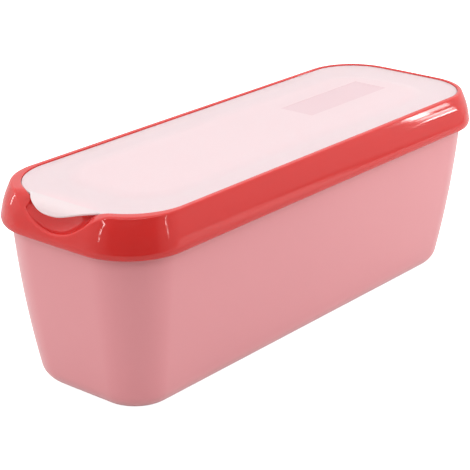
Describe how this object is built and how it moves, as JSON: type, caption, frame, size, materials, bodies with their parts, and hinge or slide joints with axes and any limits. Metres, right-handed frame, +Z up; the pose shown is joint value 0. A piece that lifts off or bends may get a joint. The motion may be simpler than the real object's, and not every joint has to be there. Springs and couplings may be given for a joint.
{
  "type": "ice cream container",
  "caption": "Shut long plastic ice cream tub with tapered frosted walls, a glossy collar with a thumb scoop, and a pale lid with a lift tab.",
  "frame": {"origin": "middle of the tub's flat base, on the floor", "axes": "+X along the container's length, away from the thumb scoop and the lid's tab, which are at the -X end; +Y across it; +Z up"},
  "size_m": [0.356, 0.125, 0.124],
  "materials": {
    "tub": "frosted pink, slightly see-through, satin",
    "collar": "smooth glossy red",
    "lid": "milky white with a pink cast, satin"
  },
  "bodies": {
    "root": {"tub": "tub", "collar": "collar", "lid": "lid"}
  },
  "joints": []
}
